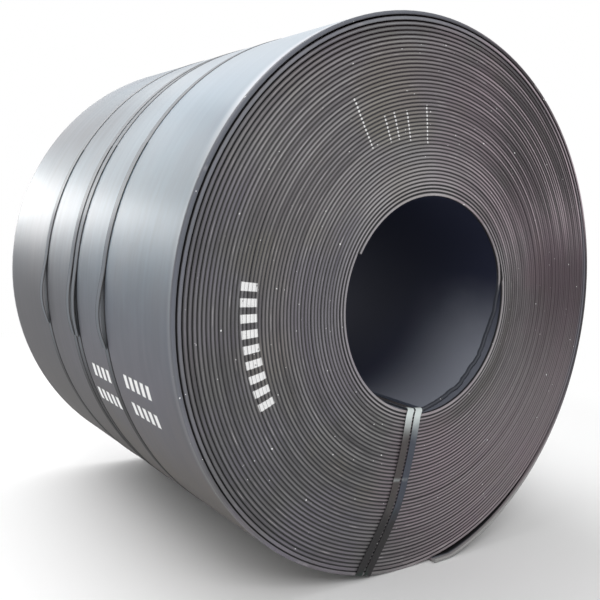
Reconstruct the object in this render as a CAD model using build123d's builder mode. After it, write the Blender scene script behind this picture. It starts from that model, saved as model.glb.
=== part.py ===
# Hot-rolled steel coil: one wound strip with its bore, four steel straps round it and two through its eye.
# Frame: origin on the bore's axis at mid width, +Y along that axis, +Z up. The coil lies on a level floor.
# Clock angles are degrees, clockwise from the top, seen from the -Y end.
import os
from math import acos, cos, degrees, radians, sin

from build123d import *

# Strip and winding, in millimetres
strip_thickness = 12.0
strip_width = 1500.0
bore_radius = 365.0
wrap_count = 48
wrap_gap = 0.1  # mean air between two tight wraps
second_gap = 2.5  # under the last wrap but one
outer_gap = 4.0  # under the last wrap
gap_depth = 40.0  # the two loose gaps are open this deep from each end
edge_rise = 2.5  # height of a wrap's rounded mill edge
edge_wander = 2.0  # how far the wraps wander along the axis
wander_step = 2.4  # radians of that wander from one wrap to the next

# Ends of the strip
head_angle = 293.0  # the inner end, a step in the bore
head_sweep = 60.0  # arc before that step, over which the bore runs out to the second wrap
lift_angle = 99.0  # the last wrap leaves the coil here
tail_angle = 166.0  # the outer end
tail_height = 5.5  # of the outer end's corner above the floor
tail_slip = 25.0  # how far the outer end has slipped out at the front
settle_start_angle = 200.0  # past its own start, the last wrap climbs from here
settle_angle = 300.0  # to its full radius here

# Straps
strap_thickness = 1.0
strap_width = 32.0
seat_clearance = 0.3
# Middle of each strap round the coil, behind the front end
strap_places = {
    "strap_front": 476.0,
    "strap_middle_front": 727.0,
    "strap_middle_rear": 768.0,
    "strap_rear": 1042.0,
}
tail_start_angle = 271.5  # a strap's loose end leaves the band here
tail_end_angle = 256.0
tail_bow = 16.0  # how far the loose end bows off the coil
tail_tip_height = 6.0
eye_bore_angle = 184.0
eye_outer_angle = 191.5
eye_bore_gap = 7.0  # between the two eye straps
eye_outer_gap = 8.0
eye_stand_off = 6.0  # of the eye straps from the coil's ends
eye_clearance = 0.8  # of the eye straps in the bore


def clock(radius, angle):
    return Vector(radius * sin(radians(angle)), radius * cos(radians(angle)))


# Clockwise direction of a circle at a clock angle
def heading(angle):
    return Vector(cos(radians(angle)), -sin(radians(angle)))


# Inner and outer radius of every wrap. Tight wraps share the valley between their edges.
wrap_pitch = strip_thickness + wrap_gap
tight_count = wrap_count - 2
wraps = [(bore_radius + n * wrap_pitch, bore_radius + (n + 1) * wrap_pitch) for n in range(tight_count)]
second_radius = wraps[-1][1] + second_gap
body_radius = second_radius + strip_thickness
coil_radius = body_radius + outer_gap + strip_thickness
wraps += [(second_radius, body_radius), (coil_radius - strip_thickness, coil_radius)]

# Past the tail the surface keeps the body's radius, then climbs to the full radius along one arc.
settle_cos = cos(radians(settle_angle - settle_start_angle))
settle_shift = (coil_radius**2 - body_radius**2) / (2 * (coil_radius - body_radius * settle_cos))
settle_radius = coil_radius - settle_shift
settle_centre = clock(settle_shift, settle_angle)
settle_start = clock(body_radius, settle_start_angle)
settle_end = clock(coil_radius, settle_angle)

# A taut strap bridges the hollow where that arc begins.
bridge_angle = settle_angle - degrees(acos((body_radius - settle_radius) / settle_shift))
bridge_start = clock(body_radius, bridge_angle)
bridge_end = settle_centre + clock(settle_radius, bridge_angle)

# The straps under the body stand on the floor, and the tail's outer corner is a little above it.
strap_reach = seat_clearance + strap_thickness
floor_height = -body_radius - strap_reach
lift_point = clock(coil_radius, lift_angle)
tail_corner = clock((floor_height + tail_height) / cos(radians(tail_angle)), tail_angle)
touch_angle = tail_angle + degrees(acos(body_radius / tail_corner.length))
lift_cos = cos(radians(tail_angle - lift_angle))
lift_shift = (tail_corner.length**2 - coil_radius**2) / (2 * (coil_radius - tail_corner.length * lift_cos))
lift_centre = clock(-lift_shift, lift_angle)
tail_inner_corner = tail_corner + (lift_centre - tail_corner).normalized() * strip_thickness


# Crest of each wrap's edge and the valley on either side of it, at one end of the coil
def edge_heights(side):
    crests = [side * strip_width / 2 + edge_wander / 2 * sin(wander_step * n) for n in range(wrap_count)]
    pairs = zip(crests[:1] + crests, crests + crests[-1:])
    return crests, [side * (min(side * a, side * b) - edge_rise) for a, b in pairs]


# Section through a run of wraps: rounded edges at both ends, and a slot beside each loose wrap
def wound_section(first, last):
    for side in (-1, 1):
        crests, valleys = edge_heights(side)
        for n in range(first, last + 1):
            inner, outer = wraps[n]
            ThreePointArc((inner, valleys[n]), ((inner + outer) / 2, crests[n]), (outer, valleys[n + 1]))
            if n == last:
                Line((outer, 0), (outer, valleys[n + 1]))
            elif wraps[n + 1][0] > outer:
                slot = valleys[n + 1] - side * gap_depth
                next_inner = wraps[n + 1][0]
                Line((outer, valleys[n + 1]), (outer, slot))
                Polyline((outer, slot), (next_inner, slot), (next_inner, valleys[n + 1]))
        root = wraps[first - 1][1] if first else bore_radius
        if root < wraps[first][0]:
            slot = valleys[first] - side * gap_depth
            Polyline((root, 0), (root, slot), (wraps[first][0], slot), (wraps[first][0], valleys[first]))
        else:
            Line((root, 0), (root, valleys[first]))


# A section's plane through the coil's axis, at a clock angle
def turn_plane(angle):
    across = clock(1, angle)
    return Plane(origin=(0, 0, 0), x_dir=(across.X, 0, across.Y), z_dir=(-across.Y, 0, across.X))


# The lifted tail, whose edges slant as it slips out at the front
with BuildPart() as tail:
    with BuildSketch(Plane.XZ) as tail_section:
        lift_inner = clock(coil_radius - strip_thickness, lift_angle)
        with BuildLine():
            TangentArc(lift_point, tail_corner, tangent=heading(lift_angle))
            Line(tail_corner, tail_inner_corner)
            TangentArc(lift_inner, tail_inner_corner, tangent=heading(lift_angle))
            Line(lift_inner, lift_point)
        make_face()
    extrude(amount=strip_width / 2 + tail_slip, both=True)
    tail_run = tail_corner - lift_point
    slant = tail_run * (tail_slip / tail_run.length**2)
    for side, kept in ((-1, Keep.TOP), (1, Keep.BOTTOM)):
        edge_origin = (lift_point.X, side * strip_width / 2, lift_point.Y)
        split(bisect_by=Plane(origin=edge_origin, z_dir=(slant.X, 1, slant.Y)), keep=kept)

# The coil: a turned body with its bore and its turns on both ends, the head's step and the lifted tail
runout_half = strip_width / 2 - edge_rise - edge_wander
with BuildPart() as coil:
    with BuildSketch(turn_plane(0)) as body:
        with BuildLine():
            wound_section(1, wrap_count - 2)
        make_face()
    revolve(axis=Axis.Y)
    with BuildSketch(turn_plane(head_angle)) as first_wrap:
        with BuildLine():
            wound_section(0, 0)
        make_face()
    revolve(axis=Axis.Y, revolution_arc=360 - head_sweep)
    with BuildSketch(turn_plane(settle_angle)) as last_wrap:
        with BuildLine():
            wound_section(wrap_count - 1, wrap_count - 1)
        make_face()
    revolve(axis=Axis.Y, revolution_arc=360 + lift_angle - settle_angle)
    with BuildSketch(Plane.XZ) as runouts:
        ramp_angle = head_angle - head_sweep
        ramp_start = clock(bore_radius, ramp_angle)
        second_wrap = [clock(wraps[1][0], ramp_angle + k * head_sweep) for k in (0, 0.5, 1)]
        with BuildLine():
            TangentArc(ramp_start, second_wrap[2], tangent=heading(ramp_angle))
            ThreePointArc(*second_wrap)
            Line(second_wrap[0], ramp_start)
        make_face()
        settle_sweep = settle_angle - settle_start_angle
        under_last = [clock(body_radius, settle_start_angle + k * settle_sweep) for k in (0, 0.5, 1)]
        with BuildLine():
            ThreePointArc(*under_last)
            Line(under_last[2], settle_end)
            TangentArc(settle_end, settle_start, tangent=-heading(settle_angle))
        make_face()
    extrude(amount=runout_half, both=True)
    add(tail.part)
coil.part.label = "coil"

# The taut outline round the wound coil: over the tail's corner and straight on to the body
with BuildSketch() as taut:
    touch_point = clock(body_radius, touch_angle)
    with BuildLine():
        ThreePointArc(settle_end, clock(coil_radius, (settle_angle + lift_angle) / 2 + 180), lift_point)
        TangentArc(lift_point, tail_corner, tangent=heading(lift_angle))
        Line(tail_corner, touch_point)
        TangentArc(touch_point, bridge_start, tangent=heading(touch_angle))
        Line(bridge_start, bridge_end)
        TangentArc(bridge_end, settle_end, tangent=heading(bridge_angle))
    make_face()

# Straps round the coil, each with the loose end of its joint
straps = []
for strap_name, place in strap_places.items():
    with BuildPart() as strap:
        with BuildSketch(Plane.XZ.offset(strip_width / 2 - place)) as band:
            offset(taut.sketch, amount=strap_reach)
            offset(taut.sketch, amount=seat_clearance, mode=Mode.SUBTRACT)
            with BuildLine() as loose_end:
                bow_angle = (tail_start_angle + tail_end_angle) / 2
                band_radius = settle_radius + strap_reach - strap_thickness / 2
                ThreePointArc(
                    settle_centre + clock(band_radius, tail_start_angle),
                    settle_centre + clock(settle_radius + tail_bow, bow_angle),
                    settle_centre + clock(settle_radius + tail_tip_height, tail_end_angle),
                )
            trace(line_width=strap_thickness)
        extrude(amount=strap_width / 2, both=True)
    strap.part.label = strap_name
    straps.append(strap.part)


# The edges of a strap's section between two radii, centred on a clock angle
def strap_section(inner, outer, angle):
    half = degrees(strap_width / 2 / outer)
    near = [clock(inner, angle + k * half) for k in (-1, 0, 1)]
    far = [clock(outer, angle + k * half) for k in (1, 0, -1)]
    ThreePointArc(*near)
    Line(near[-1], far[0])
    ThreePointArc(*far)
    Line(far[-1], near[0])


# Eye straps: through the bore, down both ends and along the outside, over the straps round the coil
face_place = strip_width / 2 + edge_wander / 2 + eye_stand_off
bore_outer = bore_radius - eye_clearance
bore_inner = bore_outer - strap_thickness
run_inner = body_radius + strap_reach + seat_clearance
run_outer = run_inner + strap_thickness
for eye_name, hand in (("eye_strap_left", 1), ("eye_strap_right", -1)):
    bore_angle = eye_bore_angle + hand * degrees((strap_width + eye_bore_gap) / 2 / bore_radius)
    run_angle = eye_outer_angle + hand * degrees((strap_width + eye_outer_gap) / 2 / run_outer)
    bore_half = degrees(strap_width / 2 / bore_outer)
    run_half = degrees(strap_width / 2 / run_outer)
    with BuildPart() as strap:
        with BuildSketch(Plane.XZ) as runs:
            with BuildLine():
                strap_section(bore_inner, bore_outer, bore_angle)
            make_face()
            with BuildLine():
                strap_section(run_inner, run_outer, run_angle)
            make_face()
        extrude(amount=face_place + strap_thickness, both=True)
        for end in (-1, 1):
            with BuildSketch(Plane.XZ.offset(end * face_place)) as end_run:
                bore_ends = [clock(bore_inner, bore_angle + k * bore_half) for k in (-1, 0, 1)]
                run_ends = [clock(run_outer, run_angle + k * run_half) for k in (1, 0, -1)]
                with BuildLine():
                    ThreePointArc(*bore_ends)
                    Line(bore_ends[-1], run_ends[0])
                    ThreePointArc(*run_ends)
                    Line(run_ends[-1], bore_ends[0])
                make_face()
            extrude(amount=end * strap_thickness)
    strap.part.label = eye_name
    straps.append(strap.part)

os.makedirs("parts", exist_ok=True)
export_step(coil.part, "parts/coil.step")
for strap_part in straps:
    export_step(strap_part, f"parts/{strap_part.label}.step")
print(f"outside diameter {2 * coil_radius:.1f}, floor {floor_height:.2f}")
print(f"tail lifts {tail_corner.length - coil_radius:.1f}")
print(f"gap under the tail {tail_inner_corner.length - body_radius:.1f}")
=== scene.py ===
import math

import bpy
import numpy as np
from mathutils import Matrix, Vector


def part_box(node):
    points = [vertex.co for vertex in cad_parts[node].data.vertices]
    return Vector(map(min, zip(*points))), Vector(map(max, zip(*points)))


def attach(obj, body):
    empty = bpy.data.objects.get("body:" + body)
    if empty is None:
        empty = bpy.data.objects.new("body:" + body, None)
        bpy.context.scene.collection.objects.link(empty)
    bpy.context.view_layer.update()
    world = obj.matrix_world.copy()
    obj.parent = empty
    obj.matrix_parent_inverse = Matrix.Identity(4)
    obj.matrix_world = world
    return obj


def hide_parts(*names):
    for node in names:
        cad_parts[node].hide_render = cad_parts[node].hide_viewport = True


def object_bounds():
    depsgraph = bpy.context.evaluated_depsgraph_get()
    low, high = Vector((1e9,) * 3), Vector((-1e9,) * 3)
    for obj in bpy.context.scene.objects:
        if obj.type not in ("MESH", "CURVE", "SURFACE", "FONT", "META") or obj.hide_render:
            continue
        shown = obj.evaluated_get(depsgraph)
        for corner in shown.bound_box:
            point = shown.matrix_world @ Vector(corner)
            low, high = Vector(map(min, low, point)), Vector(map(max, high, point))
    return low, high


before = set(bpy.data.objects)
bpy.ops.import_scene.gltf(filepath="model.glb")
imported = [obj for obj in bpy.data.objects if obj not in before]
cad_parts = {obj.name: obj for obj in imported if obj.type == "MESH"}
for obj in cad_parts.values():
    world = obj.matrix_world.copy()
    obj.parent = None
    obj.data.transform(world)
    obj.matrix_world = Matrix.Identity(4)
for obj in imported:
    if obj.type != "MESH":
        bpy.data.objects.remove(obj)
cadLow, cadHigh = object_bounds()
floorHeight = cadLow.z
halfWidth = 0.75  # of the strip
coilFront = -halfWidth
oneTurn = 360  # degrees
print("frame loaded:", len(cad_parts), "solids, CAD box", [round(v, 4) for v in cadHigh - cadLow])


# A point at a radius and a clock angle, in degrees clockwise from the top seen from -Y:
# (r sin a, y, r cos a)
def clockPoint(radius, angle, y):
    a = np.radians(angle)
    return np.stack(np.broadcast_arrays(radius * np.sin(a), y, radius * np.cos(a)), -1)


# Rises from 0 to 1 between two values: t t (3 - 2 t)
def ease(x, low, high):
    t = np.clip((x - low) / (high - low), 0, 1)
    return t * t * (3 - 2 * t)


# Smooth wander along x between -1 and 1: random values one step apart, joined by eased ramps
def wander(x, step, seed):
    knots = np.random.default_rng(seed).uniform(-1, 1, int(np.max(x) / step) + 3)
    k = np.floor(x / step).astype(int)
    t = ease(x / step - k, 0, 1)
    return knots[k] * (1 - t) + knots[k + 1] * t


# Sections carried along paths: in each run, grid[i, j] is corner j of the section at step i, and quads join
# neighbours. A section closes on itself. A path closes too, or gets a flat cap at each end.
# UV: metres along, metres round. The attribute is 0 on a crest and 1 in a valley.
def sweptPiece(name, runs, materials, sharpAngle=40):
    points, faces, uvLoops, slots, depth = [], [], [], [], []
    for run in runs:
        grid, columns, closed = run["grid"], run["columns"], run.get("closed", False)
        steps, corners = grid.shape[:2]
        index = np.arange(steps * corners).reshape(steps, corners) + sum(len(p) for p in points)
        points.append(grid.reshape(-1, 3))
        depth.append(run.get("depth", np.zeros(steps * corners)))
        if closed:
            index = np.vstack([index, index[:1]])
            grid = np.concatenate([grid, grid[:1]])
        index = np.hstack([index, index[:, :1]])
        wrapped = np.concatenate([grid, grid[:, :1]], 1)
        along = np.cumsum(np.linalg.norm(np.diff(grid[:, 0], axis=0, prepend=grid[:1, 0]), axis=1))
        across = np.cumsum(np.linalg.norm(np.diff(wrapped[0], axis=0, prepend=wrapped[0, :1]), axis=1))
        uv = np.stack(np.meshgrid(along, across, indexing="ij"), -1)
        for table, store in ((index, faces), (uv, uvLoops)):
            rings = np.stack([table[:-1, :-1], table[:-1, 1:], table[1:, 1:], table[1:, :-1]], 2)
            store.extend(rings.reshape(-1, *rings.shape[2:]).tolist())
        slots.extend(np.broadcast_to(columns, (len(grid) - 1, corners)).ravel().tolist())
        if not closed:
            faces.extend([index[0, -2::-1].tolist(), index[-1, :-1].tolist()])
            uvLoops.extend([[(0, 0)] * corners, [(along[-1], 0)] * corners])
            slots.extend([np.ravel(columns)[0]] * 2)
    mesh = bpy.data.meshes.new(name)
    mesh.from_pydata(np.concatenate(points).tolist(), [], faces)
    flatUv = np.array([pair for face in uvLoops for pair in face], np.float32)
    mesh.uv_layers.new(name="strip").data.foreach_set("uv", flatUv.ravel())
    valley = mesh.attributes.new("valley", "FLOAT", "POINT")
    valley.data.foreach_set("value", np.concatenate(depth).astype(np.float32))
    for material in materials:
        mesh.materials.append(material)
    mesh.polygons.foreach_set("material_index", np.array(slots, np.int32))
    mesh.polygons.foreach_set("use_smooth", np.ones(len(faces), bool))
    mesh.set_sharp_from_angle(angle=math.radians(sharpAngle))
    mesh.update()
    piece = bpy.data.objects.new(name, mesh)
    bpy.context.scene.collection.objects.link(piece)
    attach(piece, "root")
    print(name, len(faces) * 2, "triangles")
    return piece


# A node socket that takes part in Python expressions, each of which adds a Math node
class Wire:
    def __init__(self, shade, socket):
        self.shade = shade
        self.socket = socket

    def math(self, operation, *values):
        return self.shade.node("ShaderNodeMath", {"operation": operation}, list(values))

    def __add__(self, other):
        return self.math("ADD", self, other)

    def __radd__(self, other):
        return self.math("ADD", other, self)

    def __sub__(self, other):
        return self.math("SUBTRACT", self, other)

    def __rsub__(self, other):
        return self.math("SUBTRACT", other, self)

    def __mul__(self, other):
        return self.math("MULTIPLY", self, other)

    def __rmul__(self, other):
        return self.math("MULTIPLY", other, self)

    def __pow__(self, other):
        return self.math("POWER", self, other)

    def __mod__(self, other):
        return self.math("FLOORED_MODULO", self, other)

    def __abs__(self):
        return self.math("ABSOLUTE", self)

    def least(self, other):
        return self.math("MINIMUM", self, other)

    def most(self, other):
        return self.math("MAXIMUM", self, other)

    # 0 below low, 1 above high, eased between; low may be the larger
    def rise(self, low, high):
        ends = {"From Min": low, "From Max": high}
        settings = {"interpolation_type": "SMOOTHSTEP"}
        return self.shade.node("ShaderNodeMapRange", settings, {"Value": self, **ends})


# One material's node tree, with the fields that its masks read by name: places on the coil, noises
# and other masks
class Shade:
    def __init__(self, name):
        self.material = bpy.data.materials.new(name)
        self.material.use_nodes = True
        self.tree = self.material.node_tree
        self.surface = self.tree.nodes["Principled BSDF"]
        self.place = self.node("ShaderNodeTexCoord", {}, {}, "Object")
        self.x, self.y, self.z = self.node("ShaderNodeSeparateXYZ", {}, [self.place], "all")
        self.radius = (self.x * self.x + self.z * self.z) ** 0.5
        self.angle = self.x.math("ARCTAN2", self.x, self.z) * (180 / math.pi)  # -180 to 180
        self.clock = self.angle % oneTurn
        self.behind = self.y - coilFront
        uv = self.node("ShaderNodeUVMap", {"uv_map": "strip"}, {}, "UV")
        self.along, self.across, _ = self.node("ShaderNodeSeparateXYZ", {}, [uv], "all")
        self.fields = {"x": self.x, "y": self.y, "z": self.z, "radius": self.radius, "across": self.across}
        self.fields.update({"behind": self.behind, "fromMiddle": abs(self.y)})

    # Adds a node: its type, its settings, then values or links for its sockets, by order or by name
    def node(self, kind, settings, sockets, output=0):
        made = self.tree.nodes.new(kind)
        for key, value in settings.items():
            setattr(made, key, value)
        pairs = sockets.items() if isinstance(sockets, dict) else enumerate(sockets)
        for key, value in pairs:
            if isinstance(value, Wire):
                self.tree.links.new(value.socket, made.inputs[key])
            else:
                made.inputs[key].default_value = value
        if output == "all":
            return [Wire(self, socket) for socket in made.outputs]
        return Wire(self, made.outputs[output])

    def vector(self, x, y, z):
        return self.node("ShaderNodeCombineXYZ", {}, [x, y, z])

    def attribute(self, name):
        return self.node("ShaderNodeAttribute", {"attribute_name": name}, {}, "Fac")

    # Noise from 0 to 1 about 0.5 at a place, scaled
    def noise(self, place, scale, detail, roughness):
        sockets = {"Vector": place, "Scale": scale, "Detail": detail, "Roughness": roughness}
        return self.node("ShaderNodeTexNoise", {"noise_dimensions": "3D"}, sockets)

    # Noise drawn out round the coil, scaled by the metre across and by the degree round
    def roundNoise(self, across, perMetre, perDegree, offset, detail, roughness):
        place = self.vector(across * perMetre, self.angle * perDegree, offset)
        return self.noise(place, 1, detail, roughness)

    # Noise along the strip, scaled by the metre
    def alongNoise(self, perMetre, offset, detail, roughness):
        return self.noise(self.vector(self.along * perMetre, offset, 0.0), 1, detail, roughness)

    def blend(self, amount, first, second):
        first = (*first, 1) if isinstance(first, tuple) else first
        second = (*second, 1) if isinstance(second, tuple) else second
        return self.node("ShaderNodeMix", {"data_type": "RGBA"}, {0: amount, 6: first, 7: second}, 2)

    # 1 where a value lies within half a width of a middle, with soft ends
    def band(self, value, middle, width, soft):
        return abs(value - middle).rise(width / 2 + soft, width / 2 - soft)

    # A mask by its rule: a field's name alone, or (field, low, high) for an eased rise between two of its
    # values. A noise and its reach may follow, and shift the field: field + (noise - 0.5) reach
    def mask(self, rule):
        if isinstance(rule, str):
            return self.fields[rule]
        name, low, high = rule[:3]
        value = self.fields[name]
        if len(rule) > 3:
            noise, reach = rule[3:]
            value = value + (self.fields[noise] - 0.5) * reach
        return value.rise(low, high)

    # The product of the masks of some rules
    def zone(self, *rules):
        product = self.mask(rules[0])
        for rule in rules[1:]:
            product = product * self.mask(rule)
        return product

    # Lays colours over one another: each layer is a colour, its share, or its shares at the left and right,
    # and the rules of its zone
    def lay(self, colour, colours, layers):
        for name, share, *rules in layers:
            if isinstance(share, tuple):
                left, right = share
                share = left + self.fields["right"] * (right - left)
            colour = self.blend(self.zone(*rules) * share, colour, colours[name])
        return colour

    # Sets the surface's own sockets: a Wire is linked, a number or colour is set
    def finish(self, **sockets):
        for name, value in sockets.items():
            socket = self.surface.inputs[name.replace("_", " ")]
            if isinstance(value, Wire):
                self.tree.links.new(value.socket, socket)
            else:
                socket.default_value = (*value, 1) if isinstance(value, tuple) else value
        return self.material


# Rolled face: blue-grey mill scale, streaked round the coil, glossy along the top, with painted highlights
# and reflections along the top and beside the front edge, a painted shade band towards the rear and painted
# shade low at the rear, browner and duller underneath, and rows of white bars
scaleLook = {
    "colours": {
        "blue": (0.105, 0.160, 0.198),
        "grey": (0.120, 0.145, 0.166),
        "violet": (0.108, 0.106, 0.126),
        "brown": (0.098, 0.087, 0.077),
        "scale": (0.080, 0.086, 0.098),
        "pale": (0.230, 0.245, 0.265),
        "paintedTopSheen": (0.255, 0.335, 0.42),
        "paintedGleam": (0.62, 0.63, 0.68),
        "darkShade": (0.052, 0.050, 0.052),
        "dusk": (0.030, 0.028, 0.042),
        "lilac": (0.36, 0.355, 0.405),
        "paintedSkyBand": (0.54, 0.57, 0.60),
        "paint": (0.86, 0.86, 0.86),
    },
    "index": 1.45,
    "smooth": 0.33,
    "dull": 0.75,
    "dulled": ("z", 0.20, -0.15, "cloud", 0.2),  # heights between which the gloss goes
    "noisyRoughness": {"streak": 0.10, "cloud": 0.08},
    "zoneRoughness": {"dusk": 0.09, "lilac": 0.19},
    "streak": (38, 0.012, 0.0, 4, 0.6),  # scale across and round, offset, detail, roughness
    "scratch": (160, 0.05, 2.0, 2, 0.5),
    "cloud": (1.6, 3, 0.55),  # scale, detail, roughness
    "grain": (90, 2, 0.6),
    "mottle": (7, 4, 0.65),
    "mottleStretch": 2.5,
    "mottleShare": 0.6,  # the streaks have the rest
    "greyed": ("cloud", 0.35, 0.65),
    "highlightLineAt": 0.016,  # the painted highlight line beside the front edge
    "rimShare": 0.15,
    "highlightLineCloud": 0.5,
    "zones": {
        # where the painted shade band and the painted reflection above it lie, towards the rear
        "dusk": [("behind", 0.4, 1.1), ("z", 0.28, 0.50), ("z", 0.74, 0.50)],
        "lilac": [("behind", 0.3, 1.1), ("z", 0.50, 0.76)],
    },
    "layers": [
        ("violet", 1, ("z", 0.35, -0.35)),
        ("brown", 1, ("z", -0.25, -0.68, "cloud", 0.5)),
        ("scale", 0.35, ("mottled", 0.35, 0.65)),
        ("pale", 0.35, ("scratch", 0.66, 0.76), ("cloud", 0.45, 0.6)),
        # painted reflection: paler along the top towards the front
        ("paintedTopSheen", 0.75, ("behind", 1.1, 0.2), ("z", 0.2, 0.7)),
        # painted shade: darker low on the side towards the rear
        ("darkShade", 0.7, ("behind", 0.3, 1.3), ("z", 0.35, -0.2)),
        # painted shade: a darker band part way up the side towards the rear
        ("dusk", 0.6, "dusk"),
        # painted reflection: paler lilac along the top towards the rear
        ("lilac", 0.22, "lilac"),
        # painted reflection of the sky: a pale band high on the side towards the front
        ("paintedSkyBand", 0.32, ("behind", 1.3, 0.7), ("z", 0.54, 0.72)),
        # painted highlight: a paler line just behind the front edge
        ("pale", 1, ("fromRim", 0.016, -0.004), "rimShare"),
        # painted highlight: a pale strip on the upper side just behind the front edge
        ("paintedGleam", 0.55, ("behind", 0.055, 0.020), ("z", 0.25, 0.6)),
    ],
    "barRows": [  # clock angle, start behind the front end, count
        (250.7, 0.19, 5),
        (249.7, 0.505, 4),
        (245.1, 0.19, 5),
        (244.0, 0.495, 5),
    ],
    "barHeight": 2.7,  # degrees
    "barEndSoft": 0.12,
    "barPitch": 0.040,
    "barWidth": 0.023,
    "barSoft": 0.002,
    "barWorn": ("wear", 0.24, 0.38),
    "grainShare": 0.5,  # of the wear; the cloud has the rest
    "paintShare": 0.95,
}


# Rows of bars across the coil's side: in each row, teeth one pitch apart
def makeSideBars(shade):
    look = scaleLook
    pitch = look["barPitch"]
    bars = 0.0
    for angle, start, count in look["barRows"]:
        row = shade.band(shade.clock, angle, look["barHeight"], look["barEndSoft"])
        run = shade.band(shade.behind, start + count * pitch / 2, count * pitch, look["barSoft"])
        teeth = shade.band((shade.behind - start) % pitch, pitch / 2, look["barWidth"], look["barSoft"])
        bars = (row * run * teeth).most(bars)
    return bars * shade.mask(look["barWorn"])


def makeMillScale():
    look = scaleLook
    colours = look["colours"]
    shade = Shade("mill scale")
    fields = shade.fields
    for name in ("streak", "scratch"):
        fields[name] = shade.roundNoise(shade.y, *look[name])
    for name in ("cloud", "grain"):
        fields[name] = shade.noise(shade.place, *look[name])
    cloud = fields["cloud"]
    mottle = shade.noise(shade.vector(shade.x, shade.y * look["mottleStretch"], shade.z), *look["mottle"])
    fields["mottled"] = mottle * look["mottleShare"] + fields["streak"] * (1 - look["mottleShare"])
    fields["wear"] = fields["grain"] * look["grainShare"] + cloud * (1 - look["grainShare"])
    fields["fromRim"] = abs(shade.behind - look["highlightLineAt"])
    fields["rimShare"] = look["rimShare"] + cloud * look["highlightLineCloud"]
    for name, rules in look["zones"].items():
        fields[name] = shade.zone(*rules)
    colour = shade.blend(shade.mask(look["greyed"]), colours["blue"], colours["grey"])
    colour = shade.lay(colour, colours, look["layers"])
    colour = shade.blend(makeSideBars(shade) * look["paintShare"], colour, colours["paint"])
    roughness = look["smooth"] + shade.mask(look["dulled"]) * (look["dull"] - look["smooth"])
    for name, amount in look["noisyRoughness"].items():
        roughness = roughness + (fields[name] - 0.5) * amount
    for name, amount in look["zoneRoughness"].items():
        roughness = roughness + fields[name] * amount
    return shade.finish(Base_Color=colour, Roughness=roughness, IOR=look["index"])


# Inside of the wraps: blue-black scale, darkened further as painted shade, with painted light near the ends
# at the lower right and on the part of the tail that shows, and black painted shade on the outer wraps'
# inner faces
boreLook = {
    # blue-black scale, darkened further as painted shade
    "darkShade": (0.020, 0.023, 0.044),
    "black": (0.013, 0.013, 0.014),
    "paintedLight": (0.25, 0.265, 0.31),
    "index": 1.2,
    "roughness": 0.7,
    "cloud": (3, 3, 0.55),  # scale, detail, roughness
    "lean": 0.45,  # of the painted light, towards the right
    "paintedLightZone": [("slope", -0.02, -0.40, "cloud", 0.15), ("fromMiddle", 0.24, 0.76)],
    "outside": ("radius", 0.80, 0.85),
    "tailShows": ("fromMiddle", 0.751, 0.762),
    "secondWrap": ("radius", 0.372, 0.376),
    "secondWrapSpared": 0.4,  # share of the painted light that it lacks
}


def makeBoreScale():
    look = boreLook
    shade = Shade("bore scale")
    shade.fields["cloud"] = shade.noise(shade.place, *look["cloud"])
    shade.fields["slope"] = shade.z - shade.x * look["lean"]
    outside = shade.mask(look["outside"])
    # painted shade: black on the inner faces of the outer wraps, but for the part of the tail that shows
    hidden = outside * (1 - shade.mask(look["tailShows"]))
    spared = shade.mask(look["secondWrap"]) * look["secondWrapSpared"]
    # painted light: paler low in the bore towards its ends, and on the part of the tail that shows
    paintedLight = shade.zone(*look["paintedLightZone"]) * (1 - hidden) * (1 - spared)
    colour = shade.blend(paintedLight, shade.blend(outside, look["darkShade"], look["black"]), look["paintedLight"])
    return shade.finish(Base_Color=colour, Roughness=look["roughness"], IOR=look["index"])
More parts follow.
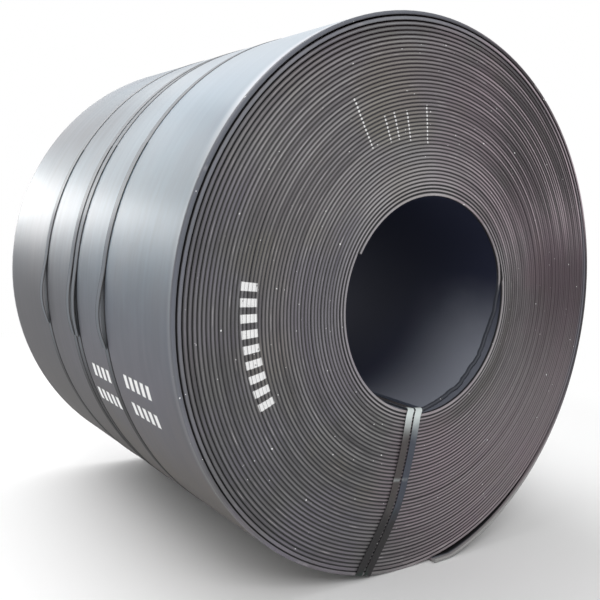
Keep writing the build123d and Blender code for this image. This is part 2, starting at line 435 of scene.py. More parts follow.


# Strip edge: light on its crest as a painted highlight, dark in the valley beside it as painted shade, with
# brown, purple and violet stains, smoothed over at the right, plum painted shade with thin painted
# highlights on the rings at the upper right, and white marks on the crests
edgeLook = {
    "colours": {
        "litCrest": (0.28, 0.277, 0.277),
        "dull": (0.070, 0.069, 0.072),
        "darkerBelow": (0.060, 0.057, 0.060),
        "blue": (0.15, 0.165, 0.20),
        "lastWrapLit": (0.10, 0.11, 0.135),
        "lastWrapShaded": (0.035, 0.031, 0.034),
        "lip": (0.34, 0.35, 0.34),
        "rosy": (0.37, 0.30, 0.33),
        "paleHighlight": (0.48, 0.45, 0.465),
        "thinHighlight": (0.68, 0.55, 0.61),
        "upperLeft": (0.42, 0.42, 0.43),
        "valley": (0.046, 0.045, 0.047),
        "plumShade": (0.028, 0.020, 0.024),
        "gap": (0.014, 0.014, 0.016),
        "smooth": (0.050, 0.031, 0.040),
        "smoothLow": (0.166, 0.144, 0.152),
        "purple": (0.25, 0.180, 0.220),
        "violet": (0.17, 0.155, 0.205),
        "brown": (0.22, 0.195, 0.135),
        "green": (0.17, 0.19, 0.155),
        "olive": (0.070, 0.074, 0.060),
        "slipped": (0.024, 0.027, 0.038),
        "slippedPale": (0.058, 0.063, 0.077),
        "paint": (0.86, 0.86, 0.86),
    },
    "index": 1.42,
    "roughness": 0.42,
    "flatRoughness": 0.25,  # added where the rings are smoothed over
    "streak": (3.5, 0.0, 3, 0.6),  # scale along the strip, offset, detail, roughness
    "glint": (8, 5.0, 2, 0.5),
    "scuff": (6, 9.0, 1, 0.5),
    "ring": (75, 0.012, 0.0, 2, 0.5),  # scale across and round, offset, detail, roughness
    "stain": (2.2, 3, 0.6),  # scale, detail, roughness
    "wear": (70, 2, 0.6),
    "speck": (75, 1, 0.5),
    "patch": (4, 2, 0.5),
    "cool": (3, 2, 0.5),
    "patchOffset": 3.0,
    "coolOffset": 7.0,
    "streakShare": 0.45,  # of the sheen; the rings have the rest
    "lit": ("sheen", 0.36, 0.64),
    "dimmedShare": 0.5,
    "flatEndShare": 0.5,
    "brownMiddle": (-0.25, 0.64),  # x and z
    "brownShares": (0.22, 0.45),  # in patches, and in the one spot
    "oliveRadius": 0.435,
    "smoothFall": ("z", 0.1, -0.4),
    "slippedStep": ("radius", 0.369, 0.373),
    "glintShare": 0.6,
    "glintLost": 0.5,  # where the rings are smoothed over
    "grooveLost": 0.7,
    "gapShare": 0.6,
    "zones": {
        "right": [("x", -0.5, 0.5)],
        "top": [("z", 0.45, 0.80)],
        "rim": [("radius", 0.42, 0.395)],
        "aboveBore": [("radius", 0.62, 0.39), ("z", 0.1, 0.4)],
        "fadedLeft": [("x", -0.45, -0.75), ("z", 0.45, 0.15)],
        "fadedTop": ["top", ("x", -0.5, 0.2)],
        "flatSide": [("x", 0.20, 0.70), ("z", 0.55, 0.15)],
        "flatEnd": [("z", -0.35, -0.75)],
        "upperRight": [("x", -0.1, 0.4), ("z", 0.05, 0.4)],
        "brownPatch": [("patch", 0.52, 0.70)],
        "brownSpot": [("fromBrown", 0.22, 0.066, "patch", 0.3)],
        "deepGroove": [("valley", 0.05, 0.65)],
        "wideGroove": [("valley", 0.0, 0.30)],
        "deepGap": [("valley", 0.75, 1.0)],
        "rimGap": [("valley", 0.15, 0.6), "rim"],
        # scratches on the crests, painted as rare short bright glints on the upper part of the face
        "scuffs": [("scuff", 0.74, 0.77), ("z", 0.2, 0.4), ("x", -0.5, -0.3)],
        "specks": [("speck", 0.775, 0.79)],
        "dotted": [("valley", 0.6, 0.2), ("y", 0.0, -0.1)],
        "barred": [("wear", 0.22, 0.36), ("y", 0.0, -0.1)],
        "barGap": [("valley", 0.7, 1.0)],
    },
    "layers": [
        # painted highlight: crests paler above the bore and round its rim
        ("paleHighlight", 0.7, "light"),
        ("upperLeft", 0.22, ("z", 0.1, 0.5), ("x", 0.15, -0.25)),
        # darker towards the bottom, most at the left
        ("darkerBelow", (0.35, 0.05), ("z", 0.0, -0.7)),
        ("purple", (0.15, 0.80), ("stain", 0.42, 0.62)),
        ("violet", (0.45, 0.05), ("cool", 0.45, 0.65)),
        ("brown", 1, "browned"),
        ("green", 0.15, ("patch", 0.45, 0.3)),
        ("rosy", 0.58, ("x", -0.25, 0.25), ("z", -0.2, -0.55)),
        ("olive", 0.6, ("fromOlive", 0.05, 0.0), ("z", 0.15, -0.1), ("x", 0.0, 0.25)),
        ("smoothed", 0.85, "flat"),
        ("blue", 0.6, ("radius", 0.905, 0.935), ("z", -0.6, -0.1)),
        # the last wrap's edge: a painted highlight at the left, painted shade at the right
        ("lastWrap", (0.6, 0.95), ("radius", 0.938, 0.942), ("z", -0.6, -0.1)),
        # painted light: the slipped tail's lip paler where it stands out in front
        ("lip", 0.7, ("y", -0.752, -0.765)),
        # painted shade at the upper right of the face
        ("plumShade", 0.5, "shadowed"),
        # painted highlights: thin light rings on the crests at the upper right
        ("thinHighlight", 0.75, "shadowed", ("ring", 0.42, 0.62)),
        # painted glints on the crests
        ("paleHighlight", 1, ("glint", 0.58, 0.70), ("valley", 0.3, 0.0), "glinting"),
        # painted shade in the grooves between the wraps, plum at the right and the top
        ("grooveShade", 1, "groove"),
        # painted shade: near black in the deepest gaps and in the gaps by the bore
        ("gap", 1, "gap"),
        # painted shade on the front edge where it has slipped into the bore, a little paler at its outer
        # side
        ("slippedEdge", 1, ("fromMiddle", 0.742, 0.736), ("radius", 0.39, 0.38)),
    ],
    "barArc": (257.7, 31.5),  # middle and length of the row of bars, degrees
    "barRadius": (0.716, 0.052, 0.003),  # middle, length and softness of each bar
    "barLean": 0.0008,  # metres outwards per degree
    "barPitch": 3.5,
    "barWidth": 1.9,
    "barSoft": 0.1,
    "barGapShare": 0.6,
    "tally": [  # clock angle, middle and length of each stroke
        (324.6, 0.66, 0.165),
        (332.5, 0.61, 0.084),
        (336.2, 0.61, 0.086),
        (341.1, 0.602, 0.096),
        (349.1, 0.60, 0.125),
    ],
    "tallyWidth": (0.5, 0.12),  # and softness, degrees
    "tallyEndSoft": 0.002,
}


# White marks on the front end: a row of bars along an arc, and strokes, specks and scratches painted as
# bright glints on the crests
def makeEndMarks(shade):
    look = edgeLook
    fields = shade.fields
    middle, length = look["barArc"]
    pitch = look["barPitch"]
    turn = shade.clock - middle
    teeth = shade.band((turn + length / 2) % pitch, pitch / 2, look["barWidth"], look["barSoft"])
    leaning = shade.radius - turn * look["barLean"]
    row = shade.band(shade.clock, middle, length, look["barSoft"])
    bars = row * shade.band(leaning, *look["barRadius"]) * teeth
    marks = fields["specks"].most(fields["scuffs"])
    for angle, radius, length in look["tally"]:
        line = shade.band(shade.clock, angle, *look["tallyWidth"])
        marks = marks.most(line * shade.band(shade.radius, radius, length, look["tallyEndSoft"]))
    covered = bars * fields["barred"] * (1 - fields["barGap"] * look["barGapShare"])
    return covered.most(marks * fields["dotted"])


def makeStripEdge():
    look = edgeLook
    colours = dict(look["colours"])
    shade = Shade("strip edge")
    fields = shade.fields
    fields["valley"] = shade.attribute("valley")
    for name in ("streak", "glint", "scuff"):
        fields[name] = shade.alongNoise(*look[name])
    for name in ("stain", "wear", "speck"):
        fields[name] = shade.noise(shade.place, *look[name])
    fields["ring"] = shade.roundNoise(shade.radius, *look["ring"])
    patchPlace = shade.vector(shade.x + look["patchOffset"], shade.y, shade.z)
    coolPlace = shade.vector(shade.x, shade.y, shade.z + look["coolOffset"])
    fields["patch"] = shade.noise(patchPlace, *look["patch"])
    fields["cool"] = shade.noise(coolPlace, *look["cool"])
    fields["sheen"] = fields["streak"] * look["streakShare"] + fields["ring"] * (1 - look["streakShare"])
    brownX, brownZ = look["brownMiddle"]
    asideX, asideZ = shade.x - brownX, shade.z - brownZ
    fields["fromBrown"] = (asideX * asideX + asideZ * asideZ) ** 0.5
    fields["fromOlive"] = abs(shade.radius - look["oliveRadius"])
    for name, rules in look["zones"].items():
        fields[name] = shade.zone(*rules)
    flat = fields["flatSide"] * (1 - fields["flatEnd"] * look["flatEndShare"])
    shadowed = fields["upperRight"] * (1 - flat)
    patchShare, spotShare = look["brownShares"]
    fields["flat"] = flat
    fields["shadowed"] = shadowed
    # where the crests get the painted highlight: above the bore and round its rim
    fields["light"] = fields["aboveBore"].most(fields["rim"])
    fields["browned"] = (fields["brownPatch"] * patchShare).most(fields["brownSpot"] * spotShare)
    fields["glinting"] = look["glintShare"] - flat * look["glintLost"]
    # masks of the painted shade in the grooves and gaps between the wraps
    groove = fields["deepGroove"].most(fields["wideGroove"] * shadowed)
    fields["groove"] = groove * (1 - flat * look["grooveLost"])
    fields["gap"] = (fields["deepGap"] * look["gapShare"]).most(fields["rimGap"])
    smoothFall = shade.mask(look["smoothFall"])
    slippedStep = shade.mask(look["slippedStep"])
    colours["smoothed"] = shade.blend(smoothFall, colours["smooth"], colours["smoothLow"])
    colours["lastWrap"] = shade.blend(fields["right"], colours["lastWrapLit"], colours["lastWrapShaded"])
    colours["grooveShade"] = shade.blend(fields["right"].most(fields["top"]), colours["valley"], colours["plumShade"])
    colours["slippedEdge"] = shade.blend(slippedStep, colours["slipped"], colours["slippedPale"])
    dimmed = fields["fadedLeft"].most(fields["fadedTop"])
    lit = shade.mask(look["lit"]) * (1 - dimmed * look["dimmedShare"])
    # painted highlight on the crests, in streaks along the rings, weaker at the far left and along the top
    colour = shade.blend(lit, colours["dull"], colours["litCrest"])
    colour = shade.lay(colour, colours, look["layers"])
    colour = shade.blend(makeEndMarks(shade), colour, colours["paint"])
    roughness = look["roughness"] + flat * look["flatRoughness"]
    return shade.finish(Base_Color=colour, Roughness=roughness, IOR=look["index"])


# Blued strap steel: a black painted shadow line along its edges, paler on its inner face as painted light,
# glossier above, duller and darker below as painted shade
strapLook = {
    "face": (0.100, 0.112, 0.130),
    "edge": (0.009, 0.009, 0.011),
    "low": (0.015, 0.014, 0.015),
    "paintedInnerLight": (0.17, 0.172, 0.19),
    "index": 1.42,
    "smooth": 0.42,
    "dull": 0.75,
    "cloud": (9, 3, 0.6),  # scale, detail, roughness
    "cloudRoughness": 0.1,
    "shadedBelow": ("z", -0.15, -0.45),
    "dulled": ("z", 0.25, 0.0, "cloud", 0.2),
    "innerFace": ("across", 0.032, 0.0315),  # metres round the band's section
    "outerFace": (0.033, 0.065),
    "edgeShadowLine": (0.0056, 0.008),
    "farEdge": 3,  # how many times narrower the painted shadow line along the far edge is
}


def makeBluedStrap():
    look = strapLook
    shade = Shade("blued strap")
    cloud = shade.fields["cloud"] = shade.noise(shade.place, *look["cloud"])
    start, end = look["outerFace"]
    fromEdge = (shade.across - start).least((end - shade.across) * look["farEdge"])
    # painted shade: the band darker low on the coil
    face = shade.blend(shade.mask(look["shadedBelow"]), look["face"], look["low"])
    # painted shadow: a black line along the band's edges
    colour = shade.blend(fromEdge.rise(*look["edgeShadowLine"]), look["edge"], face)
    # painted light: the band's inner face paler where it bows off the coil
    colour = shade.blend(shade.mask(look["innerFace"]), colour, look["paintedInnerLight"])
    roughness = look["smooth"] + shade.mask(look["dulled"]) * (look["dull"] - look["smooth"])
    roughness = roughness + (cloud - 0.5) * look["cloudRoughness"]
    return shade.finish(Base_Color=colour, Roughness=roughness, IOR=look["index"])


# Eye strap steel: a painted highlight where it is bent over the bore's edge, stained below with one small
# glint, then oily black
eyeLook = {
    "bright": (0.66, 0.72, 0.71),
    "stains": {"eye_strap_left": (0.056, 0.048, 0.047), "eye_strap_right": (0.043, 0.051, 0.072)},
    "black": (0.014, 0.013, 0.014),
    "green": (0.011, 0.024, 0.019),
    "index": 1.45,
    "roughness": 0.50,
    "cloudRoughness": 0.2,
    "cloud": (14, 3, 0.6),  # scale, detail, roughness
    "patch": (8, 1, 0.5),
    "greened": ("patch", 0.52, 0.62),
    "stained": ("radius", 0.80, 0.62, "cloud", 0.3),
    "paintedGleam": ("radius", 0.49, 0.38, "cloud", 0.06),
    "gleamCurve": 1.5,
    "gleamEnd": ("fromMiddle", 0.735, 0.75),
    "gleamShare": 0.6,
    "gleamCloud": 0.8,
    "glintRadius": 0.612,  # where the straps bend aside
    "glint": [("fromGlint", 0.010, 0.0), ("cloud", 0.35, 0.6)],
    "glintShare": 0.35,
}


def makeEyeStrapSteel(name):
    look = eyeLook
    shade = Shade(name + " steel")
    cloud = shade.fields["cloud"] = shade.noise(shade.place, *look["cloud"])
    shade.fields["patch"] = shade.noise(shade.place, *look["patch"])
    shade.fields["fromGlint"] = abs(shade.radius - look["glintRadius"])
    # painted highlight: bright where the strap bends over the bore's edge
    paintedGleam = shade.mask(look["paintedGleam"]) ** look["gleamCurve"] * shade.mask(look["gleamEnd"])
    paintedGleam = paintedGleam * (look["gleamShare"] + cloud * look["gleamCloud"])
    oil = shade.blend(shade.mask(look["greened"]), look["black"], look["green"])
    colour = shade.blend(shade.mask(look["stained"]), oil, look["stains"][name])
    colour = shade.blend(paintedGleam, colour, look["bright"])
    colour = shade.blend(shade.zone(*look["glint"]) * look["glintShare"], colour, look["bright"])
    roughness = look["roughness"] + (cloud - 0.5) * look["cloudRoughness"]
    return shade.finish(Base_Color=colour, Roughness=roughness, IOR=look["index"])


millScale = makeMillScale()
boreScale = makeBoreScale()
stripEdge = makeStripEdge()
bluedStrap = makeBluedStrap()
print("materials made")

# The wound strip, in metres and degrees
coil = {
    "thickness": 0.012,
    "boreRadius": 0.365,
    "bodyRadius": 0.9361,  # of the wrap that the tail lies over
    "fullRadius": 0.9521,
    "tailRadius": 0.9604,  # of the lifted outer end
    "headAngle": 293,  # inner end
    "liftAngle": 99,  # the last wrap lifts from here
    "tailAngle": 166,  # where the straps hold it
    "tailEnd": 171.4,
    "settleStart": 200,  # the last wrap climbs from here
    "settleEnd": 300,
    "fullTurns": 46,
    "tailSlack": 0.0048,  # looseness of the wrap under the tail
    "slackKept": 0.7,  # share of a wrap's looseness that the next wrap inwards keeps
    "stepsPerTurn": 144,
    "sharpAngle": 60,
    "edgeWander": 0.0012,
    "wanderStep": 130,
    "wanderSeeds": (3, 5),  # front and rear
    "setBack": 0.035,  # how far the first wrap's front edge slips into the bore
    "setBackGrows": (59, 109),
    "setBackEnds": (191, 161),
    "ragged": 0.004,  # how far that edge wanders
    "raggedSteps": (4, 1.7),  # coarse and fine
    "raggedSeeds": (11, 12),
    "fineShare": 0.5,
    "tailSlip": 0.0245,  # how far the tail has slipped out at the front
    "slipCurve": 1.2,
    "tailSpared": 0.75,  # share of the valleys' painted shade that the slipped tail lacks
    "tailSparedRate": 2,  # by its slip
    "bareValley": 0.3,  # painted shade left on corners with no wrap beside them
    "looseValley": 0.5,  # and on the loose outer wraps
    "looseTurns": 2.5,
    "baredFrom": 0.008,  # set-back that bares the second wrap
}


# Radius of a circle seen from the coil's axis, where its centre is shifted along one clock angle:
# s cos a + sqrt(r^2 - (s sin a)^2)
def shiftedCircle(shift, radius, turn):
    a = np.radians(turn)
    return shift * np.cos(a) + np.sqrt(radius**2 - (shift * np.sin(a)) ** 2)


touchAngle = coil["tailAngle"] + math.degrees(math.acos(coil["bodyRadius"] / coil["tailRadius"]))


# Outer surface of the last wrap, from the tail once round: level, a climb, full, a lift, then straight along
# the taut straps to where they touch the coil: body / cos(touch - angle)
def lastWrapRadius(angle):
    body, full, tip = coil["bodyRadius"], coil["fullRadius"], coil["tailRadius"]
    climb = math.cos(math.radians(coil["settleEnd"] - coil["settleStart"]))
    climbShift = (full**2 - body**2) / (2 * (full - body * climb))
    lift = math.cos(math.radians(coil["tailAngle"] - coil["liftAngle"]))
    liftShift = (tip**2 - full**2) / (2 * (full - tip * lift))
    liftStart = coil["liftAngle"] + oneTurn
    radius = np.full(np.shape(angle), full)
    climbing = shiftedCircle(climbShift, full - climbShift, angle - coil["settleEnd"])
    radius = np.where(angle < coil["settleEnd"], climbing, radius)
    radius = np.where(angle < coil["settleStart"], body, radius)
    lifting = shiftedCircle(-liftShift, full + liftShift, angle - liftStart)
    radius = np.where(angle > liftStart, lifting, radius)
    straight = body / np.cos(np.radians(touchAngle + oneTurn - angle))
    return np.where(angle > coil["tailAngle"] + oneTurn, straight, radius)


# Outer radius of the strip, by the turns back from the tail: an even spiral, plus a slack that fades inwards
def stripRadius(turnsBack, totalTurns):
    wound = coil["bodyRadius"] - coil["tailSlack"] - coil["boreRadius"] - coil["thickness"]
    pitch = wound / (totalTurns - 1)
    even = coil["boreRadius"] + coil["thickness"] + pitch * (totalTurns - turnsBack)
    layer = np.floor(turnsBack)
    part = turnsBack - layer
    slack = lastWrapRadius(coil["tailEnd"] + oneTurn - oneTurn * part) - (even + pitch * layer)
    lifted = (coil["tailEnd"] - coil["liftAngle"]) / oneTurn
    under = coil["tailSlack"] + (coil["slackKept"] * slack - coil["tailSlack"]) * ease(part, 0, lifted)
    return even + np.where(layer > 0, under * coil["slackKept"] ** np.maximum(layer - 1, 0), slack)


# The strip's section: flat faces, rounded edges. A row is in from the edge and in from the outer face, mm.
edgeSection = np.array([(12, 0), (2.0, 0), (0.6, 1.3), (0, 6), (0.6, 10.7), (2.0, 12), (12, 12)]) / 1000
edgeDepth = np.array([1, 1, 0.60, 0, 0.60, 1, 1])  # 0 on the crest, 1 in the valley


# How far the first wrap's front edge is set back: a rise and a fall by clock angle, times a ragged depth
def setBackDepth(turned):
    coarse, fine = coil["raggedSteps"]
    coarseSeed, fineSeed = coil["raggedSeeds"]
    clock = coil["headAngle"] + turned - oneTurn
    ragged = wander(turned, coarse, coarseSeed) + wander(turned, fine, fineSeed) * coil["fineShare"]
    slipped = ease(clock, *coil["setBackGrows"]) * ease(clock, *coil["setBackEnds"])
    return slipped * (coil["setBack"] + coil["ragged"] * ragged)


# The section carried round the spiral. Its front edge lies at -half the width + wander + set-back - slip,
# and its rear edge at half the width + wander - slip, where the slip grows along the lifted tail as
# share^curve.
def makeWoundStrip():
    sweep = coil["tailEnd"] + oneTurn - coil["headAngle"] + oneTurn * coil["fullTurns"]
    totalTurns = sweep / oneTurn
    turned = np.linspace(0, sweep, int(totalTurns * coil["stepsPerTurn"]) + 1)
    radius = stripRadius((sweep - turned) / oneTurn, totalTurns)
    angle = coil["headAngle"] + turned
    setBack = setBackDepth(turned)
    alongTail = np.clip((turned - sweep) / (coil["tailEnd"] - coil["liftAngle"]) + 1, 0, 1)
    slip = coil["tailSlip"] * alongTail ** coil["slipCurve"]
    frontSeed, rearSeed = coil["wanderSeeds"]
    frontWander = coil["edgeWander"] * wander(turned, coil["wanderStep"], frontSeed)
    rearWander = coil["edgeWander"] * wander(turned, coil["wanderStep"], rearSeed)
    frontEdge = -halfWidth + frontWander + setBack - slip
    rearEdge = halfWidth + rearWander - slip
    inY, inRadius = edgeSection.T
    sectionY = np.hstack([frontEdge[:, None] + inY, rearEdge[:, None] - inY[::-1]])
    sectionRadius = radius[:, None] - np.hstack([inRadius, inRadius[::-1]])
    grid = clockPoint(sectionRadius, angle[:, None], sectionY)
    count = len(edgeSection)
    columns = np.ones((len(turned) - 1, 2 * count), np.int32)  # strip edge, but for the two flat faces
    columns[:, count - 1] = 2
    columns[:, 2 * count - 1] = 0
    outerCorners = [0, 1, 2, 2 * count - 3, 2 * count - 2, 2 * count - 1]  # bare on the last wrap
    innerCorners = [count - 3, count - 2, count + 1, count + 2]  # bare on the first wrap
    roundCorners = [2, 4, count + 2, count + 4]  # paler on the loose outer wraps
    # share of the valleys' painted shade that the slipped tail lacks, by its slip
    spared = coil["tailSpared"] * np.clip(slip / coil["tailSlip"] * coil["tailSparedRate"], 0, 1)
    depth = np.tile(edgeDepth, 2) * (1 - spared)[:, None]
    bared = np.interp(turned - oneTurn, turned, setBack) > coil["baredFrom"]  # on the second wrap
    paler = [
        (turned > sweep - oneTurn, outerCorners, coil["bareValley"]),
        (turned > sweep - oneTurn * coil["looseTurns"], roundCorners, coil["looseValley"]),
        ((turned < oneTurn) | bared, innerCorners, coil["bareValley"]),
    ]
    for steps, corners, share in paler:
        depth[steps] *= np.where(np.isin(np.arange(2 * count), corners), share, 1)
    run = {"grid": grid, "columns": columns, "depth": depth.ravel()}
    materials = [millScale, stripEdge, boreScale]
    return sweptPiece("woundStrip", [run], materials, sharpAngle=coil["sharpAngle"])


woundStrip = makeWoundStrip()
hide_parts("coil")

# Straps round the coil, in metres and degrees. Each is drawn tight, with a loose end that bows off.
strap = {
    "thickness": 0.001,
    "width": 0.032,
    "seat": 0.00005,
    "lapAngle": 296,  # the over end starts to lap here
    "bowAngle": 272,  # and leaves the band here
    "endAngle": 256,
    "tip": 0.004,
    "tipFrom": 0.5,  # share of the loose end
    "bows": {
        "strap_front": 0.015,
        "strap_middle_front": 0.007,
        "strap_middle_rear": 0.010,
        "strap_rear": 0.015,
    },
    "bowSkew": 1.35,
    "bowRound": 1.3,
    "drift": 0.003,  # sideways, of the loose end
    "sway": 0.0015,
    "swayTurn": 70,  # from each strap to the next
    "steps": 432,
    "looseSteps": 60,
}


# A band's section along an arc: two corners at the inner radius and two a thickness out, half a width to
# each side
def bandGrid(radius, angle, middle):
    reach = np.array([0, 0, strap["thickness"], strap["thickness"]])
    side = np.array([1, -1, -1, 1]) * strap["width"] / 2
    return clockPoint(radius[:, None] + reach, angle[:, None], middle[:, None] + side)


# Sideways sway along a strap's clock angle, which differs from strap to strap: sway sin(2 a + turn count)
def swayAt(angle, count):
    return strap["sway"] * np.sin(np.radians(angle * 2 + strap["swayTurn"] * count))


# Each strap is a closed loop on the last wrap and a loose end over it. With s from 0 to 1 along that end, it
# lifts off by bow sin(pi s^skew)^round, plus a tip that rises over its last part.
def makeStraps():
    columns = np.zeros(4, np.int32)
    for count, (name, bow) in enumerate(strap["bows"].items()):
        low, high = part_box(name)
        middle = (low.y + high.y) / 2
        angle = np.linspace(touchAngle, touchAngle + oneTurn, strap["steps"], endpoint=False)
        loop = bandGrid(lastWrapRadius(angle) + strap["seat"], angle, middle + swayAt(angle, count))
        end = np.linspace(strap["lapAngle"], strap["endAngle"], strap["looseSteps"])
        s = np.clip((strap["bowAngle"] - end) / (strap["bowAngle"] - strap["endAngle"]), 0, 1)
        lift = bow * np.sin(np.pi * s ** strap["bowSkew"]) ** strap["bowRound"]
        lift = lift + strap["tip"] * ease(s, strap["tipFrom"], 1)
        over = lastWrapRadius(end) + strap["seat"] + strap["thickness"] + lift
        drift = strap["drift"] * ease(s, 0, 1)
        loose = bandGrid(over, end, middle + swayAt(end, count) + drift)[::-1]
        runs = [{"grid": loop, "columns": columns, "closed": True}, {"grid": loose, "columns": columns}]
        piece = sweptPiece(name + "Band", runs, [bluedStrap])
        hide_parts(name)


makeStraps()

# Eye straps: through the bore, over the front edge, down the face, along the outside and back
eyeStrap = {
    "thickness": 0.001,
    "width": 0.030,
    "boreAngle": 184,
    "outerAngle": 191.5,
    "boreGap": 0.009,
    "outerGap": 0.010,
    "boreSeat": 0.0008,  # off the bore
    "outerSeat": 0.0016,  # off the outside, over the other straps
    "bend": 0.010,  # radius of the bends over the coil's edges
    "bendLead": 1.5,  # bends before the face at which a straight run stops
    "bendSteps": 9,
    "faceSteps": 40,
    "standOff": 0.0035,  # off the face
    "bulge": 0.003,
    "bulgeRate": 2.2,
    "bow": 0.058,  # sideways, across the face
    "bowAt": 0.58,  # share of the way down the face
    "bowSoft": 0.55,
    "turnLength": 0.12,  # in which the width turns from along the bore to along the face
}


# Centre line and width direction: straight runs joined by quarter bends in the plane of radius and y,
# while the run down the face bows sideways off the line from the bore's angle to the outside's, as two ramps
# a = share / at and b = (1 - share) / (1 - at), joined softly: (a + b - sqrt((a - b)^2 + soft^2)) / 2
def eyeStrapGrid(hand):
    bend, thickness = eyeStrap["bend"], eyeStrap["thickness"]
    boreRadius = coil["boreRadius"] - eyeStrap["boreSeat"]
    outerRadius = coil["bodyRadius"] + eyeStrap["outerSeat"] + thickness
    spread = eyeStrap["width"] / 2
    boreAngle = eyeStrap["boreAngle"] + hand * math.degrees((spread + eyeStrap["boreGap"] / 2) / boreRadius)
    outerTurn = math.degrees((spread + eyeStrap["outerGap"] / 2) / outerRadius)
    outerAngle = eyeStrap["outerAngle"] + hand * outerTurn
    face = halfWidth + eyeStrap["standOff"]
    quarter = np.linspace(0, np.pi / 2, eyeStrap["bendSteps"])
    down = np.linspace(0, 1, eyeStrap["faceSteps"])[1:-1]
    ends = np.zeros(2 + len(quarter))
    share = np.concatenate([ends, down, ends + 1])
    bulge = eyeStrap["bulge"] * np.sin(np.pi * np.clip(share * eyeStrap["bulgeRate"], 0, 1)) ** 2
    innerY = [0, face - bend * eyeStrap["bendLead"]]
    arcY = face - bend + bend * np.sin(quarter)
    y = np.concatenate([innerY, arcY, np.full(len(down), face), arcY[::-1], innerY[::-1]]) + bulge
    arcRadius = bend - bend * np.cos(quarter)
    start = clockPoint(boreRadius, boreAngle, 0.0)
    stop = clockPoint(outerRadius, outerAngle, 0.0)
    span = np.linalg.norm(stop - start)
    faceRun = bend + (span - 2 * bend) * down
    along = np.concatenate([np.zeros(2), arcRadius, faceRun, span - arcRadius[::-1], np.full(2, span)])
    line = (stop - start) / span
    boreSide = np.array([math.cos(math.radians(boreAngle)), 0, -math.sin(math.radians(boreAngle))])
    faceSide = np.cross(line, [0, -1, 0])
    faceSide *= np.sign(faceSide @ boreSide)
    up, back = share / eyeStrap["bowAt"], (1 - share) / (1 - eyeStrap["bowAt"])
    bow = eyeStrap["bow"] * np.maximum(up + back - np.hypot(up - back, eyeStrap["bowSoft"]), 0) / 2
    centre = start + along[:, None] * line - bow[:, None] * faceSide
    centre[:, 1] = -y
    mirrored = centre[::-1] * np.array([1, -1, 1])
    centre = np.concatenate([centre, mirrored])
    turn = ease(np.concatenate([along, along[::-1]]), 0, eyeStrap["turnLength"])
    tangent = np.roll(centre, -1, 0) - np.roll(centre, 1, 0)
    tangent /= np.linalg.norm(tangent, axis=1)[:, None]
    side = boreSide + (faceSide - boreSide) * turn[:, None]
    side -= np.sum(side * tangent, 1)[:, None] * tangent
    side /= np.linalg.norm(side, axis=1)[:, None]
    normal = np.cross(tangent, side)
    normal /= np.linalg.norm(normal, axis=1)[:, None]
    corners = [(-spread, -0.5), (spread, -0.5), (spread, 0.5), (-spread, 0.5)]  # the second in thicknesses
    return np.stack([centre + side * a + normal * b * thickness for a, b in corners], 1)


for name, hand in (("eye_strap_left", 1), ("eye_strap_right", -1)):
    run = {"grid": eyeStrapGrid(hand), "columns": np.zeros(4, np.int32), "closed": True}
    piece = sweptPiece(name + "Band", [run], [makeEyeStrapSteel(name)])
    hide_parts(name)

# Floor: pale round the coil, where it takes the shadow, and white as the background further out
floor = {"size": 60.0, "colour": (0.93, 0.93, 0.93), "roughness": 0.9, "paleTo": 2.0, "whiteFrom": 4.5}


def makeFloor():
    half = floor["size"] / 2
    corners = [(-half, -half), (half, -half), (half, half), (-half, half)]
    mesh = bpy.data.meshes.new("floor")
    mesh.from_pydata([(x, y, floorHeight) for x, y in corners], [], [(0, 1, 2, 3)])
    shade = Shade("floor")
    shade.finish(Base_Color=floor["colour"], Roughness=floor["roughness"])
    seen = shade.node("ShaderNodeLightPath", {}, {}, "Is Camera Ray")
    for ray in ("Is Glossy Ray", "Is Transmission Ray"):
        seen = seen.most(shade.node("ShaderNodeLightPath", {}, {}, ray))
    reach = (shade.x * shade.x + shade.y * shade.y) ** 0.5
    white = seen * reach.rise(floor["paleTo"], floor["whiteFrom"])
    glow = shade.node("ShaderNodeEmission", {}, {"Color": (1, 1, 1, 1), "Strength": 1.0})
    body = Wire(shade, shade.surface.outputs[0])
    mixed = shade.node("ShaderNodeMixShader", {}, [white, body, glow])
    shade.tree.links.new(mixed.socket, shade.tree.nodes["Material Output"].inputs[0])
    mesh.materials.append(shade.material)
    piece = bpy.data.objects.new("floor", mesh)
    bpy.context.scene.collection.objects.link(piece)


makeFloor()

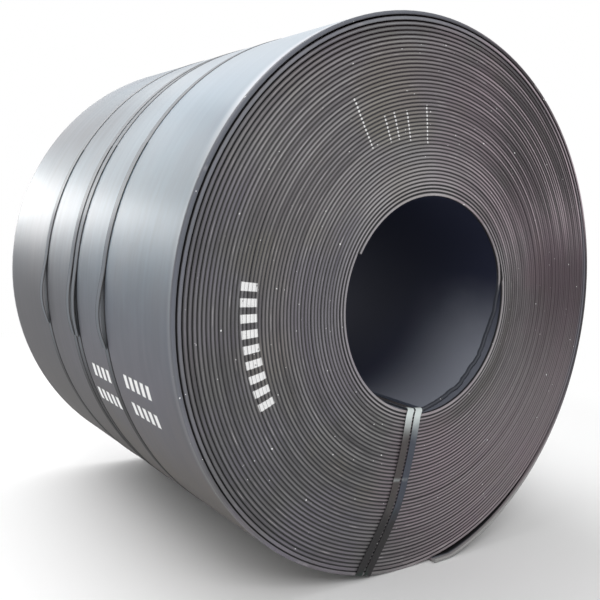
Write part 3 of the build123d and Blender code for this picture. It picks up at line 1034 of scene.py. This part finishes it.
# Light: a pale world, white where the camera, gloss and glass see it, and soft panels
light = {
    "ambient": 0.6,
    "panels": [
        {"name": "horizon panel", "at": (-2.6, 7.0, 0.6), "size": (4.0, 2.2), "watts": 96},
        {"name": "sky panel", "at": (-1.8, 6.5, 2.2), "size": (7.0, 3.4), "watts": 130},
        {"name": "top panel", "at": (-1.5, 2.0, 5.5), "size": (6.0, 6.0), "watts": 260},
        {"name": "front panel", "at": (-3.5, -5.0, 4.5), "size": (3.0, 3.0), "watts": 150},
    ],
}


def makeLight():
    world = bpy.data.worlds.new("studio")
    world.use_nodes = True
    bpy.context.scene.world = world
    tree = world.node_tree
    path = tree.nodes.new("ShaderNodeLightPath")
    seen = path.outputs["Is Camera Ray"]
    for name in ("Is Glossy Ray", "Is Transmission Ray"):
        either = tree.nodes.new("ShaderNodeMath")
        either.operation = "MAXIMUM"
        tree.links.new(seen, either.inputs[0])
        tree.links.new(path.outputs[name], either.inputs[1])
        seen = either.outputs[0]
    level = tree.nodes.new("ShaderNodeMapRange")
    level.inputs["To Min"].default_value = light["ambient"]
    tree.links.new(seen, level.inputs["Value"])
    background = tree.nodes["Background"]
    background.inputs["Color"].default_value = (1, 1, 1, 1)
    tree.links.new(level.outputs[0], background.inputs["Strength"])
    for panel in light["panels"]:
        lamp = bpy.data.lights.new(panel["name"], "AREA")
        lamp.shape = "RECTANGLE"
        lamp.size, lamp.size_y = panel["size"]
        lamp.energy = panel["watts"]
        holder = bpy.data.objects.new(panel["name"], lamp)
        holder.location = panel["at"]
        holder.visible_camera = False
        holder.rotation_euler = (-holder.location).to_track_quat("-Z", "Y").to_euler()
        bpy.context.scene.collection.objects.link(holder)


makeLight()

# Camera, from the photograph's viewing angle
view = {
    "at": (-1.75446, -2.42558, 0.14475),
    "turn": (87.151, -6.055, -40.997),
    "lens": 42.321,
    "shift": (-0.11818, -0.01698),
}
camera = bpy.data.cameras.new("camera")
camera.lens = view["lens"]
camera.shift_x, camera.shift_y = view["shift"]
holder = bpy.data.objects.new("camera", camera)
holder.location = view["at"]
holder.rotation_euler = [math.radians(v) for v in view["turn"]]
bpy.context.scene.collection.objects.link(holder)
bpy.context.scene.camera = holder
bpy.context.scene.view_settings.view_transform = "Standard"
print("floor, light and camera made")
